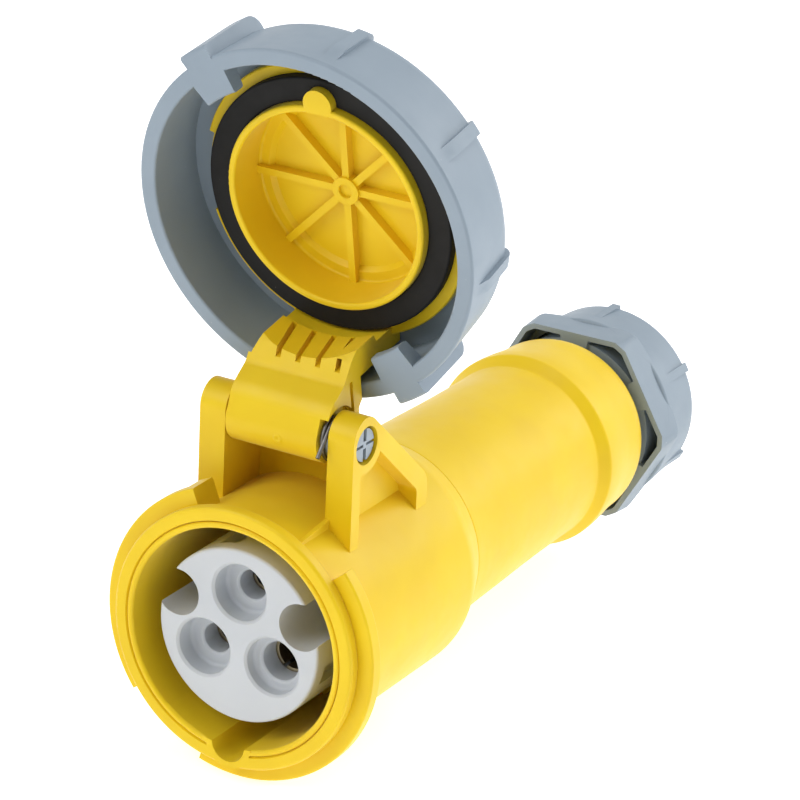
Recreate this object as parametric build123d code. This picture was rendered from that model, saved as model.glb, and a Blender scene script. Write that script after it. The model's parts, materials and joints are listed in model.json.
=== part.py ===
"""Industrial cable coupler: a yellow three-pole trailing socket with hinged lid.

The body axis is Y. The origin is the middle of the mouth, on the plane of its
front lip, and the mouth faces -Y. X goes across and Z is up. The lid's pieces
are drawn shut and then swung open, which is how the coupler stands at rest.
Polar angles are measured in the X-Z plane from +X towards +Z.
"""
import os
from math import cos, radians, sin, sqrt

from build123d import *

# Cutting shapes run past the surface they cut, and joined ones reach into each other
OVERRUN = 1.0
LAP = 0.1

# Front housing: mouth, rim and the seats of the insert and the rear housing
MOUTH_R = 22.8
LIP_R = 0.65
BODY_WALL = 2.2
RIM_HEIGHT = 2.0
RIM_DEPTH = 2.9
RIM_ROUND = 0.7
GROOVE_INSET = 1.3
GROOVE_DEPTH = 0.7
GROOVE_WIDTH = 0.35
MOUTH_DEPTH = 41.0
WEB = 3.0
INSERT_GAP = 4.8
INSERT_DRAFT = 0.3
WEB_BORE_CLEARANCE = 0.3
SPIGOT_STEP = 0.6
SPIGOT_CLEARANCE = 0.2
PARTING_WALL = 2.1
SHOULDER_LENGTH = 7.8
SHOULDER_ROUND = 7.0
GROOVE_ROUND = 0.5
BORE_SLACK = 0.01
BODY_R = MOUTH_R + BODY_WALL
RIM_R = BODY_R + RIM_HEIGHT
GROOVE_R = MOUTH_R + GROOVE_INSET
INSERT_R = MOUTH_R - INSERT_GAP
INSERT_ROOT_R = INSERT_R + INSERT_DRAFT
WEB_BORE_R = INSERT_ROOT_R + WEB_BORE_CLEARANCE
SPIGOT_R = WEB_BORE_R + SPIGOT_STEP

# Where the pieces meet along the axis, counted from the bottom of the mouth
FLANGE = 3.0
CARRIER_RIM = 3.0
SPIGOT_LENGTH = 8.3
WEB_Y = MOUTH_DEPTH + WEB
FLANGE_Y = WEB_Y + FLANGE
SPIGOT_FRONT_Y = FLANGE_Y + CARRIER_RIM
PARTING_Y = SPIGOT_FRONT_Y + SPIGOT_LENGTH
PARTING_R = SPIGOT_R + SPIGOT_CLEARANCE + PARTING_WALL
PARTING_GAP = 0.2

# Bayonet wings and the keyway of the mouth
WING_HEIGHT = 3.2
WING_ROOT = 2.5
WING_FRONT_Y = 2.7
WING_THICKNESS = 3.2
WING_ROUND = 0.5
LEFT_WING = (112.0, 217.0)
RIGHT_WING = (254.0, 400.0)
STOP_BLOCK_ANGLE = 5.5
STOP_BLOCK_LENGTH = 7.0
KEYWAY_R = 3.7
KEYWAY_INSET = 0.5
KEYWAY_WALL = 1.4
KEYWAY_DEPTH = 36.0
WING_R = RIM_R + WING_HEIGHT
KEYWAY_CENTRE_R = MOUTH_R - KEYWAY_INSET

# Hinge ears
HINGE_Y = 18.96
HINGE_HEIGHT = 13.57
HINGE_Z = BODY_R + HINGE_HEIGHT
EAR_GAP = 23.2
EAR_THICKNESS = 5.8
EAR_FRONT_Y = 14.1
EAR_TOP = 5.85
EAR_REAR_Y = 43.0
EAR_SINK = 0.85
EAR_FLAT = 1.4
EAR_HEAD_ROUND = 4.6
EAR_TOP_ROUND = 4.2
EAR_RECESS_ROUND = 2.0
EAR_HEEL_ROUND = 5.0
EAR_FRONT_STRIP = 3.0
EAR_REAR_RIM = 4.0
EAR_WEB = 1.7
EAR_ROOT_DEPTH = 13.0
EAR_BLIND_WALL = 1.5
STOP_WALL_Y = 27.4
STOP_WALL = 2.2
STOP_WALL_DROP = 1.57
GUSSET = 0.9
GUSSET_RISE = 1.4
GUSSET_SINK = 4.0
EAR_INNER_X = EAR_GAP / 2
EAR_OUTER_X = EAR_INNER_X + EAR_THICKNESS
EAR_REAR_Z = BODY_R - EAR_SINK

# Rear housing, with its collar in front of the nut
REAR_STEP = 0.05
REAR_LENGTH = 76.0
WAIST_DROP = 1.95
WAIST_LENGTH = 54.0
COLLAR_RAMP = 2.6
COLLAR_RISE = 1.75
COLLAR_LENGTH = 14.0
COLLAR_ROUND = 1.3
COLLAR_SAG = 0.25
COLLAR_CREST = 0.4
END_DROP = 1.1
END_ROUND = 6.0
END_EDGE = 4.0
REAR_WALL = 2.55
SEAT_DEPTH = 20.3
SEAL_SEAT_R = 11.5
SEAL_SEAT_WALL = 3.0
END_FLAT = 1.2
CONE_SHAPE = ((0.14, 0.36), (0.36, 0.58), (0.6, 0.82))
CONE_START_LEAN = 0.15
CONE_END_LEAN = 0.01
COLLAR_LEAN = 0.03
REAR_START_R = PARTING_R - REAR_STEP
END_Y = PARTING_Y + REAR_LENGTH
SEAL_SEAT_Y = END_Y - SEAT_DEPTH
WAIST_R = PARTING_R - WAIST_DROP
COLLAR_TOP_R = WAIST_R + COLLAR_RISE
END_R = COLLAR_TOP_R - END_DROP
THREAD_BORE_R = END_R - END_EDGE - END_FLAT
INTERIOR_R = WAIST_R - REAR_WALL

# Seal between the housings
SEAL_SETBACK = 4.0
SEAL_GROOVE_DEPTH = 1.3
SEAL_SECTION_R = 0.72
SEAL_SIDE_GAP = 0.2
SEAL_LIFT = 0.03
SEAL_GROOVE_Y = SPIGOT_FRONT_Y + SEAL_SETBACK

# Contact insert
INSERT_FRONT_Y = 2.5
INSERT_STRAIGHT = 14.0
INSERT_EDGE = 0.6
PIN_CIRCLE_R = 9.0
LINE_ANGLE = 90.0
NEUTRAL_ANGLE = 210.0
EARTH_ANGLE = 330.0
COUNTERBORE_R = 5.85
COUNTERBORE_EDGE = 0.5
COUNTERBORE_ROUND = 0.8
LINE_COUNTERBORE = 4.7
EARTH_COUNTERBORE = 3.1
CONTACT_MOUTH_EXTRA_R = 0.55
CONTACT_MOUTH_EDGE = 0.4
CONTACT_STOP_WALL = 5.0
NOTCH_R = 4.85
NOTCH_INSET = 4.0
NOTCH_Z = 5.6
NOTCH_DEPTH = 14.0
WINDOW_WIDTH = 4.4
WINDOW_LENGTH = 8.0
WINDOW_DEPTH = 1.8
WINDOW_SETBACK = 3.2
WINDOW_ANGLES = (344.2, 104.8)
NOTCH_X = INSERT_R - NOTCH_INSET

# Contacts
LINE_PIN_R = 2.5
EARTH_PIN_R = 3.5
SLEEVE_WALL = 0.9
SLEEVE_SLOT = 0.8
SLEEVE_SLOT_LENGTH = 18.0
CLIP_WALL = 0.3
CLIP_LENGTH = 7.0
CLIP_SETBACK = 2.5
CLIP_GAP = 1.2
CLIP_FIT = 0.02
CONTACT_PLAY = 0.2
TERMINAL_EXTRA_R = 1.0
TERMINAL_LENGTH = 13.0
WIRE_BORE_R = 1.9
WIRE_BORE_DEPTH = 9.0
TERMINAL_SCREW_R = 1.75
TERMINAL_SCREW_FIT = 0.02
TERMINAL_SCREW_SETBACK = 4.5
TERMINAL_SCREW_SINK = 0.4
TERMINAL_SCREW_PROUD = 0.8
TERMINAL_END_Y = FLANGE_Y + TERMINAL_LENGTH
TERMINAL_SCREW_Y = TERMINAL_END_Y - TERMINAL_SCREW_SETBACK

# Contact carrier
CARRIER_SLACK = 2.5
CARRIER_PROUD = 1.0
CARRIER_SCREW_R = 1.5
CARRIER_SCREW_HEAD_R = 2.8
CARRIER_SCREW_HEAD = 2.0
CARRIER_SCREW_GRIP = 12.0
SCREW_ACCESS = 0.6
SCREW_SLOT = 0.7
SCREW_SLOT_DEPTH = 0.9
CARRIER_R = SPIGOT_R - CARRIER_SLACK
CARRIER_END_Y = TERMINAL_END_Y + CARRIER_PROUD

# Lid, drawn shut
LID_OPEN_ANGLE = 169.42
POT_CLEARANCE = 1.0
POT_RIM_Y = 1.6
POT_WALL = 1.5
POT_DEPTH = 10.2
POT_STEP_INSET = 3.6
POT_STEP = 0.9
POT_CORNER_ROUND = 0.6
POT_RIM_ROUND = 0.5
POT_RIB = 1.5
POT_RIB_HEIGHT = 2.0
POT_RIBS = 8
POT_BOSS_R = 2.9
POT_BOSS_RISE = 0.5
POT_BOSS_DIMPLE_R = 1.5
POT_BOSS_DIMPLE = 0.8
POT_KEY_CLEARANCE = 0.6
PLATFORM_REACH = 6.4
PLATFORM_FRONT_Y = -2.2
PLATFORM = 2.8
PLATFORM_ROUND = 0.4
PLATFORM_CUT = (163.0, 198.0)
PLATFORM_CUT_DEPTH = 1.3
HUB_REACH = 1.6
HUB_LENGTH = 7.0
HUB_ROUND = 1.5
BARREL_R = 5.4
BARREL_LEFT_PLAY = 0.4
SPRING_SPACE = 2.3
ARM_PLAY = 0.5
ARM_RING_GAP = 1.8
ARM_BODY_GAP = 1.0
ARM_RIM_CLEAR_R = 0.6
ARM_RIM_CLEAR_Y = 4.4
ARM_STOP_GAP_ANGLE = 1.0
ARM_STOP_SWEEP = 5.0
ARM_RIM_CLEAR_SLOPE = 0.8
ARM_RING_EDGE_GAP = 0.7
ARM_LEAN_ANGLE = 27.2
ARM_INSIDE = ((2.3, -7.3), (-3.0, -9.8), (-6.0, -13.4))
ARM_OUTSIDE = ((-10.2, -4.6), (-7.7, -2.6), (-7.7, 2.6), (-2.0, 5.0))
ARM_ROUNDS = {2: 6.0, 3: 3.0, 9: 2.0, 10: 2.6}
ARM_ROOT_SINK = 3.0
ARM_FOOT_Y = 8.4
ARM_GROOVES = 4
ARM_GROOVE = 1.1
ARM_GROOVE_SLANT = 12.0
ARM_GROOVE_DEPTH = 1.0
LEG_SLOT = 1.0
LEG_SLOT_DEPTH = 1.3
LEG_SLOT_LENGTH = 6.8
LEG_SLOT_SETBACK = 6.1
LEG_SLOT_DROP = 2.6
SPRING_POCKET_EXTRA_R = 1.0
POT_R = MOUTH_R - POT_CLEARANCE
POT_INNER_R = POT_R - POT_WALL
POT_FLOOR_Y = POT_RIM_Y - POT_DEPTH
POT_RIB_TOP_Y = POT_FLOOR_Y + POT_RIB_HEIGHT
POT_KEY_HALF = KEYWAY_R - POT_KEY_CLEARANCE
PLATFORM_R = MOUTH_R + PLATFORM_REACH
PLATFORM_BACK_Y = PLATFORM_FRONT_Y - PLATFORM
HUB_R = MOUTH_R + HUB_REACH
LID_BACK_Y = PLATFORM_BACK_Y - HUB_LENGTH
BARREL_LEFT_X = BARREL_LEFT_PLAY - EAR_INNER_X
BARREL_RIGHT_X = EAR_INNER_X - SPRING_SPACE
ARM_HALF_WIDTH = EAR_INNER_X - ARM_PLAY
ARM_INNER_R = BODY_R + ARM_BODY_GAP
SPRING_POCKET_R = BARREL_R + SPRING_POCKET_EXTRA_R

# Gasket of the lid
GASKET_POT_GAP = 0.1
GASKET_INSET = 2.3
GASKET_MOUTH_GAP = 0.1
GASKET_ROUND = 0.4
GASKET_KEY_GAP = 0.15
GASKET_INNER_R = POT_R + GASKET_POT_GAP
GASKET_OUTER_R = PLATFORM_R - GASKET_INSET

# Locking ring, drawn on the shut lid
RING_EDGE_Y = 9.2
RING_DEPTH = 17.7
RING_WING_GAP = 3.3
RING_WALL = 3.5
RING_TAPER = 1.8
RING_EDGE_ROUND = 0.6
RING_LIP_ROUND = 0.5
RING_END_ROUND = 4.0
RING_BACK_REACH = 5.1
RING_FLANGE = 2.6
RING_FLANGE_GAP = 0.3
RING_BEARING_CLEARANCE = 0.3
SNAP_LUGS = 4
SNAP_LUG_ANGLE = 20.0
SNAP_LUG_OVERLAP = 1.0
SNAP_LUG_LENGTH = 2.6
SNAP_LUG_SINK = 0.4
LUG_ANGLES = (235.5, 55.5)
LUG_HALF_ANGLE = 7.5
LUG_RIM_GAP = 1.9
LUG_THICKNESS = 3.0
LUG_ROUND = 0.6
LUG_BACK_SLOPE = 0.8
GRIP_HEIGHT = 2.5
GRIP_HALF_ANGLE = 5.2
GRIP_ROUND = 3.2
GRIP_FRONT_ROUND = 0.8
GRIP_TAPER = 0.8
SMALL_RIBS = 3
SMALL_RIB_HEIGHT = 0.9
SMALL_RIB_HALF_ANGLE = 2.2
SMALL_RIB_SETBACK = 3.2
SMALL_RIB_RUN = 3.0
SMALL_RIB_END_ROUND = 2.4
RIB_PITCH_ANGLE = 45.0
RIB_END_INSET = 0.5
RIB_SINK = 2.0
RING_INNER_R = WING_R + RING_WING_GAP
RING_OUTER_R = RING_INNER_R + RING_WALL
RING_END_R = RING_OUTER_R - RING_TAPER
RING_END_Y = RING_EDGE_Y - RING_DEPTH
RIB_ROOT_R = RING_INNER_R + OVERRUN
RIB_END_ROOT_R = RING_END_R - RIB_SINK
RING_FLANGE_FRONT_Y = PLATFORM_BACK_Y - RING_FLANGE_GAP
RING_FLANGE_BACK_Y = RING_FLANGE_FRONT_Y - RING_FLANGE
LUG_INNER_R = RIM_R + LUG_RIM_GAP
ARM_OUTER_R = RING_INNER_R - ARM_RING_GAP

# Hinge pin and spring
PIN_R = 3.85
PIN_CLEARANCE = 0.05
PIN_END_PLAY = 0.1
PIN_LOBE_R = 3.3
PIN_LOBE_SINK = 1.0
PIN_END_SINK = 0.5
PIN_SLOT = 1.1
PIN_BRIDGE = 1.5
PIN_SLOT_START = 0.5
SPRING_WIRE_R = 0.42
SPRING_COIL_R = 4.5
SPRING_PITCH = 0.9
SPRING_TURNS = 1.1
SPRING_GAP = 0.2
SPRING_LEG = 6.5
PIN_LOBE_START_X = EAR_INNER_X + PIN_LOBE_SINK
PIN_END_X = EAR_OUTER_X - PIN_END_SINK

# Cable gland
NUT_GAP = 1.2
CORNER_REACH = 2.3
CORNER_SPREAD = 0.6
SKIRT_WALL = 1.15
CORNER_ANGLE = 120.5
HEX_LENGTH = 6.6
HEX_SHOULDER = 1.6
HEX_ROUND = 1.0
CAP_REACH = 0.7
CAP_TAPER = 1.0
CAP_LENGTH = 20.2
CAP_WALL = 2.1
CAP_ROUND = 1.8
CAP_FRONT_ROUND = 0.8
NUT_FLOOR = 8.0
NUT_COLLAR_INSET = 1.8
NUT_COLLAR_SETBACK = 0.7
THREAD_CLEARANCE = 0.08
THREAD_REACH = 10.1
NUT_BORE_R = 11.6
CABLE_R = 9.0
CABLE_LENGTH = 6.0
CABLE_FLARE = 1.2
TAB_HALF_ANGLE = 10.0
TAB_LAP = 1.2
NECK_RIBS = 6
NECK_RIB = 0.8
NECK_RIB_WIDTH = 1.9
NECK_RIB_LENGTH = 9.0
NECK_RIB_INSET = 0.9
NECK_RIB_SINK = 1.5
NECK_RIB_START_SINK = 0.3
GLAND_RADIAL_GAP = 0.3
SEAL_LENGTH = 5.4
SEAL_BORE_R = 8.6
SEAL_FRONT_ROUND = 0.8
SEAL_REAR_ROUND = 1.2
WASHER_BORE_R = 9.6
WASHER = 2.6
CAGE_WALL = 1.7
CAGE_RING = 4.0
CAGE_FINGERS = 8
CAGE_SLOT = 1.4
CAGE_LENGTH = 20.0
REST_GAP = 0.3
ACROSS_FLATS = 2 * END_R
CORNER_FRONT_R = END_R + CORNER_REACH
CORNER_R = CORNER_FRONT_R + CORNER_SPREAD
CAP_R = END_R + CAP_REACH
CAP_END_R = CAP_R - CAP_TAPER
NUT_COLLAR_R = END_R - NUT_COLLAR_INSET
TAB_INNER_R = NUT_COLLAR_R - TAB_LAP
SKIRT_FRONT_Y = END_Y + NUT_GAP
NUT_END_Y = SKIRT_FRONT_Y + CAP_LENGTH
NUT_FLOOR_Y = NUT_END_Y - NUT_FLOOR
FLAT_ANGLE = CORNER_ANGLE - 30
NUT_COLLAR_Y = SKIRT_FRONT_Y + NUT_COLLAR_SETBACK
THREAD_FRONT_Y = END_Y - THREAD_REACH


def outline(points, rounds=None):
    """Closed flat outline with the given corners rounded: rounds maps corner to radius."""
    flat = make_face(Polyline(*points, close=True))
    for index, radius in (rounds or {}).items():
        corner = flat.vertices().sort_by_distance((*points[index], 0))[0]
        flat = fillet(corner, radius)
    return flat


def turned(points, rounds=None):
    """Solid of revolution about the body axis from (radius, y) points."""
    return revolve(outline(points, rounds), axis=Axis.Y)


def sector(points, start, end, rounds=None):
    """Part of a turned solid between two polar angles."""
    piece = revolve(outline(points, rounds), axis=Axis.Y, revolution_arc=end - start)
    return Rot(0, -end, 0) * piece


def tube(outer_r, inner_r, y1, y2):
    return turned([(inner_r, y1), (outer_r, y1), (outer_r, y2), (inner_r, y2)])


def rod(radius, y1, y2, x=0.0, z=0.0):
    """Solid cylinder along the body axis."""
    return Pos(x, (y1 + y2) / 2, z) * (Rot(90, 0, 0) * Cylinder(radius, y2 - y1))


def cross_rod(radius, x1, x2, y=HINGE_Y, z=HINGE_Z):
    """Solid cylinder along X, by default on the hinge axis."""
    return Pos((x1 + x2) / 2, y, z) * (Rot(0, 90, 0) * Cylinder(radius, x2 - x1))


def block(x1, x2, y1, y2, z1, z2):
    return Pos((x1 + x2) / 2, (y1 + y2) / 2, (z1 + z2) / 2) * Box(x2 - x1, y2 - y1, z2 - z1)


def slab(points, x1, x2, rounds=None):
    """Plate with a (y, z) outline between two x planes."""
    flat = Plane.YZ * outline(points, rounds)
    return Pos(x1, 0, 0) * extrude(flat, amount=x2 - x1)


def polar(radius, angle):
    """X and Z of a point at a polar angle about the body axis."""
    return radius * cos(radians(angle)), radius * sin(radians(angle))


def at_angle(piece, angle):
    """Turn a piece drawn at +X round the body axis to a polar angle."""
    return Rot(0, -angle, 0) * piece


def swing_open(piece):
    """Carry a piece drawn on the shut lid to the open lid."""
    hinge = Pos(0, HINGE_Y, HINGE_Z)
    return hinge * Rot(-LID_OPEN_ANGLE, 0, 0) * hinge.inverse() * piece


def make_front_housing():
    bore_r = SPIGOT_R + SPIGOT_CLEARANCE
    shell = turned(
        [
            (MOUTH_R, 0), (GROOVE_R, 0), (GROOVE_R, GROOVE_DEPTH), (GROOVE_R + GROOVE_WIDTH, 0),
            (RIM_R, 0), (RIM_R, RIM_DEPTH), (BODY_R, RIM_DEPTH), (BODY_R, PARTING_Y - SHOULDER_LENGTH),
            (PARTING_R, PARTING_Y), (bore_r, PARTING_Y), (bore_r, WEB_Y),
            (WEB_BORE_R, WEB_Y), (WEB_BORE_R, MOUTH_DEPTH), (MOUTH_R, MOUTH_DEPTH),
        ],
        {0: LIP_R, 1: GROOVE_ROUND, 4: RIM_ROUND, 5: RIM_ROUND, 7: SHOULDER_ROUND, 13: BODY_WALL / 2},
    )
    shell += key_bulge()
    shell += wing(*LEFT_WING) + wing(*RIGHT_WING) + stop_block()
    shell += ear(1) + ear(-1) + stop_wall() + ear_gusset()
    shell -= cross_rod(PIN_R + PIN_CLEARANCE, EAR_BLIND_WALL - EAR_OUTER_X, EAR_OUTER_X + OVERRUN)
    return shell - keyway() - rod(MOUTH_R - BORE_SLACK, LIP_R, MOUTH_DEPTH)


def wing(start, end):
    """Bayonet wing: a collar segment behind which the ring's lugs turn."""
    root = RIM_R - WING_ROOT
    back_y = WING_FRONT_Y + WING_THICKNESS
    points = [(root, WING_FRONT_Y), (WING_R, WING_FRONT_Y), (WING_R, back_y), (root, back_y)]
    return sector(points, start, end, {1: WING_ROUND, 2: WING_ROUND})


def stop_block():
    """Block at the upper end of the left wing that a lug runs against."""
    end_y = WING_FRONT_Y + STOP_BLOCK_LENGTH
    root = BODY_R - WING_ROUND
    points = [(root, WING_FRONT_Y), (WING_R, WING_FRONT_Y), (WING_R, end_y), (root, end_y)]
    start = LEFT_WING[0]
    return sector(points, start, start + STOP_BLOCK_ANGLE, {1: WING_ROUND, 2: WING_ROUND})


def key_bulge():
    """Outside of the rim and body round the keyway."""
    bulge = rod(KEYWAY_R + KEYWAY_WALL, 0, KEYWAY_DEPTH + KEYWAY_WALL, z=-KEYWAY_CENTRE_R)
    return bulge - rod(MOUTH_R, -OVERRUN, MOUTH_DEPTH)


def keyway():
    """Round-bottomed slot for the plug's key."""
    slot = rod(KEYWAY_R, -OVERRUN, KEYWAY_DEPTH, z=-KEYWAY_CENTRE_R)
    return slot + block(-KEYWAY_R, KEYWAY_R, -OVERRUN, KEYWAY_DEPTH, -KEYWAY_CENTRE_R, -MOUTH_R / 2)


def ear_points():
    """Side outline of an ear in (y, z), down to inside the body."""
    top = HINGE_Z + EAR_TOP
    root = BODY_R - EAR_ROOT_DEPTH
    return [
        (EAR_FRONT_Y, root), (EAR_FRONT_Y, top), (HINGE_Y + EAR_FLAT, top),
        (EAR_REAR_Y, EAR_REAR_Z), (EAR_REAR_Y, root),
    ]


def ear(side):
    """Hinge ear with a rim round a recess; side is 1 for +X and -1 for -X."""
    rounds = {1: EAR_HEAD_ROUND, 2: EAR_TOP_ROUND, 3: EAR_HEEL_ROUND}
    plate = slab(ear_points(), EAR_INNER_X, EAR_OUTER_X, rounds)
    head_y = HINGE_Y + EAR_FLAT
    slope = (EAR_REAR_Z - HINGE_Z - EAR_TOP) / (EAR_REAR_Y - head_y)
    drop = EAR_REAR_RIM * sqrt(1 + slope * slope)
    y1 = EAR_FRONT_Y + EAR_FRONT_STRIP
    y2 = EAR_REAR_Y - EAR_REAR_RIM
    top1 = HINGE_Z + EAR_TOP + slope * (y1 - head_y) - drop
    top2 = HINGE_Z + EAR_TOP + slope * (y2 - head_y) - drop
    bottom = BODY_R - EAR_ROOT_DEPTH
    points = [(y1, bottom), (y1, top1), (y2, top2), (y2, bottom)]
    recess = slab(points, EAR_INNER_X + EAR_WEB, EAR_OUTER_X + OVERRUN, {2: EAR_RECESS_ROUND})
    recess -= cross_rod(EAR_TOP, 0, EAR_OUTER_X + 2 * OVERRUN)
    plate -= recess
    plate -= rod(MOUTH_R + BODY_WALL / 2, 0, PARTING_Y)
    return plate if side > 0 else mirror(plate, about=Plane.YZ)


def stop_wall():
    """Wall between the ears that the open lid leans on."""
    root = BODY_R - EAR_ROOT_DEPTH
    half = EAR_INNER_X + LAP
    wall = block(-half, half, STOP_WALL_Y, STOP_WALL_Y + STOP_WALL, root, HINGE_Z - STOP_WALL_DROP)
    return wall - rod(MOUTH_R + BODY_WALL / 2, 0, PARTING_Y)


def ear_gusset():
    """Low ridge from the rim up to the front of the right ear."""
    root = MOUTH_R - GUSSET_SINK
    low = sqrt(BODY_R ** 2 - EAR_INNER_X ** 2)
    start = RIM_DEPTH - OVERRUN
    end = EAR_FRONT_Y + LAP
    points = [(start, root), (start, low), (end, low + GUSSET_RISE), (end, root)]
    ridge = slab(points, EAR_INNER_X, EAR_INNER_X + GUSSET)
    return ridge - rod(MOUTH_R + BODY_WALL / 2, 0, PARTING_Y)


def make_rear_housing():
    """Tapering grip with a collar; CONE_SHAPE pairs shares of its length and of its narrowing."""
    start_y = PARTING_Y + PARTING_GAP
    waist_y = PARTING_Y + WAIST_LENGTH
    top_y = waist_y + COLLAR_RAMP
    round_y = END_Y - END_ROUND
    collar_end_y = waist_y + COLLAR_LENGTH
    edge_r = END_R - END_EDGE
    narrowing = REAR_START_R - WAIST_R
    between = [(REAR_START_R - drop * narrowing, start_y + share * WAIST_LENGTH) for share, drop in CONE_SHAPE]
    cone = Spline(
        (REAR_START_R, start_y), *between, (WAIST_R, waist_y),
        tangents=((-CONE_START_LEAN, 1), (-CONE_END_LEAN, 1)),
    )
    middle_y = top_y + COLLAR_CREST * (collar_end_y - top_y)
    collar = Spline(
        (COLLAR_TOP_R, top_y), (COLLAR_TOP_R - COLLAR_SAG, middle_y), (END_R, round_y),
        tangents=((COLLAR_LEAN, 1), (0, 1)),
    )
    ramp = Line((WAIST_R, waist_y), (COLLAR_TOP_R, top_y))
    end = EllipticalCenterArc((edge_r, round_y), END_EDGE, END_ROUND, start_angle=0, arc_size=90)
    seat_front = SEAL_SEAT_Y - SEAL_SEAT_WALL
    inner = Polyline(
        (edge_r, END_Y), (THREAD_BORE_R, END_Y), (THREAD_BORE_R, SEAL_SEAT_Y),
        (SEAL_SEAT_R, SEAL_SEAT_Y), (SEAL_SEAT_R, seat_front),
        (INTERIOR_R, seat_front - INTERIOR_R + SEAL_SEAT_R), (INTERIOR_R, SPIGOT_FRONT_Y),
        (SPIGOT_R, SPIGOT_FRONT_Y), (SPIGOT_R, start_y), (REAR_START_R, start_y),
    )
    flat = make_face([*cone.edges(), ramp, *collar.edges(), *end.edges(), *inner.edges()])
    for point in ((WAIST_R, waist_y, 0), (COLLAR_TOP_R, top_y, 0)):
        flat = fillet(flat.vertices().sort_by_distance(point)[0], COLLAR_ROUND)
    half = SEAL_SECTION_R + SEAL_SIDE_GAP
    floor_r = SPIGOT_R - SEAL_GROOVE_DEPTH
    groove = tube(SPIGOT_R + OVERRUN, floor_r, SEAL_GROOVE_Y - half, SEAL_GROOVE_Y + half)
    return revolve(flat, axis=Axis.Y) - groove


def make_housing_seal():
    radius = SPIGOT_R - SEAL_GROOVE_DEPTH + SEAL_SECTION_R + SEAL_LIFT
    return Pos(0, SEAL_GROOVE_Y, 0) * Rot(90, 0, 0) * Torus(radius, SEAL_SECTION_R)


def contact_sizes(name):
    """Polar angle, pin radius and counterbore depth of one pole."""
    if name == "earth":
        return EARTH_ANGLE, EARTH_PIN_R, EARTH_COUNTERBORE
    angle = LINE_ANGLE if name == "line" else NEUTRAL_ANGLE
    return angle, LINE_PIN_R, LINE_COUNTERBORE


POLES = ("line", "neutral", "earth")


def contact_front_y(name):
    """Y of the front end of a contact sleeve, against its stop wall."""
    return INSERT_FRONT_Y + contact_sizes(name)[2] + CONTACT_STOP_WALL + CONTACT_PLAY


def make_contact_insert():
    body = turned(
        [
            (0, INSERT_FRONT_Y), (INSERT_R, INSERT_FRONT_Y), (INSERT_R, INSERT_FRONT_Y + INSERT_STRAIGHT),
            (INSERT_ROOT_R, MOUTH_DEPTH), (INSERT_ROOT_R, WEB_Y), (SPIGOT_R, WEB_Y),
            (SPIGOT_R, FLANGE_Y), (0, FLANGE_Y),
        ],
        {1: INSERT_EDGE},
    )
    for name in POLES:
        angle, pin_r, counterbore = contact_sizes(name)
        x, z = polar(PIN_CIRCLE_R, angle)
        cavity_r = pin_r + SLEEVE_WALL + CLIP_WALL + CONTACT_PLAY
        mouth_r = pin_r + CONTACT_MOUTH_EXTRA_R
        stop_y = INSERT_FRONT_Y + counterbore
        front_y = INSERT_FRONT_Y - OVERRUN
        back_y = stop_y + CONTACT_STOP_WALL
        well = turned(
            [
                (0, front_y), (COUNTERBORE_R + COUNTERBORE_EDGE + OVERRUN, front_y),
                (COUNTERBORE_R, INSERT_FRONT_Y + COUNTERBORE_EDGE), (COUNTERBORE_R, stop_y),
                (mouth_r + CONTACT_MOUTH_EDGE, stop_y), (mouth_r, stop_y + CONTACT_MOUTH_EDGE),
                (mouth_r, back_y), (cavity_r, back_y), (cavity_r, FLANGE_Y + OVERRUN), (0, FLANGE_Y + OVERRUN),
            ],
            {3: COUNTERBORE_ROUND},
        )
        body -= Pos(x, 0, z) * well
    for x in (-NOTCH_X, NOTCH_X):
        body -= rod(NOTCH_R, INSERT_FRONT_Y - OVERRUN, INSERT_FRONT_Y + NOTCH_DEPTH, x, NOTCH_Z)
    start = INSERT_FRONT_Y + WINDOW_SETBACK
    half = WINDOW_WIDTH / 2
    outside = INSERT_ROOT_R + OVERRUN
    window = block(INSERT_R - WINDOW_DEPTH, outside, start, start + WINDOW_LENGTH, -half, half)
    for angle in WINDOW_ANGLES:
        body -= at_angle(window, angle)
    return body - rod(CARRIER_SCREW_R, FLANGE_Y - CARRIER_SCREW_GRIP, FLANGE_Y + OVERRUN)


def make_contact_carrier():
    body = rod(SPIGOT_R, FLANGE_Y, SPIGOT_FRONT_Y) + rod(CARRIER_R, FLANGE_Y, CARRIER_END_Y)
    for name in POLES:
        angle, pin_r, _ = contact_sizes(name)
        x, z = polar(PIN_CIRCLE_R, angle)
        head_r = pin_r + SLEEVE_WALL + TERMINAL_EXTRA_R + CONTACT_PLAY
        body -= rod(head_r, FLANGE_Y - OVERRUN, CARRIER_END_Y + OVERRUN, x, z)
        access = cross_rod(TERMINAL_SCREW_R + SCREW_ACCESS, PIN_CIRCLE_R, SPIGOT_R, TERMINAL_SCREW_Y, 0)
        body -= at_angle(access, angle)
    body -= rod(CARRIER_SCREW_R, FLANGE_Y - OVERRUN, CARRIER_END_Y + OVERRUN)
    head_y = CARRIER_END_Y - CARRIER_SCREW_HEAD
    return body - rod(CARRIER_SCREW_HEAD_R + CONTACT_PLAY, head_y, CARRIER_END_Y + OVERRUN)


def make_carrier_screw():
    head_y = CARRIER_END_Y - CARRIER_SCREW_HEAD
    screw = rod(CARRIER_SCREW_R, FLANGE_Y - CARRIER_SCREW_GRIP, head_y)
    screw += rod(CARRIER_SCREW_HEAD_R, head_y, CARRIER_END_Y)
    reach = CARRIER_SCREW_HEAD_R
    floor_y = CARRIER_END_Y - SCREW_SLOT_DEPTH
    half = SCREW_SLOT / 2
    return screw - block(-reach, reach, floor_y, CARRIER_END_Y + OVERRUN, -half, half)


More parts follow.
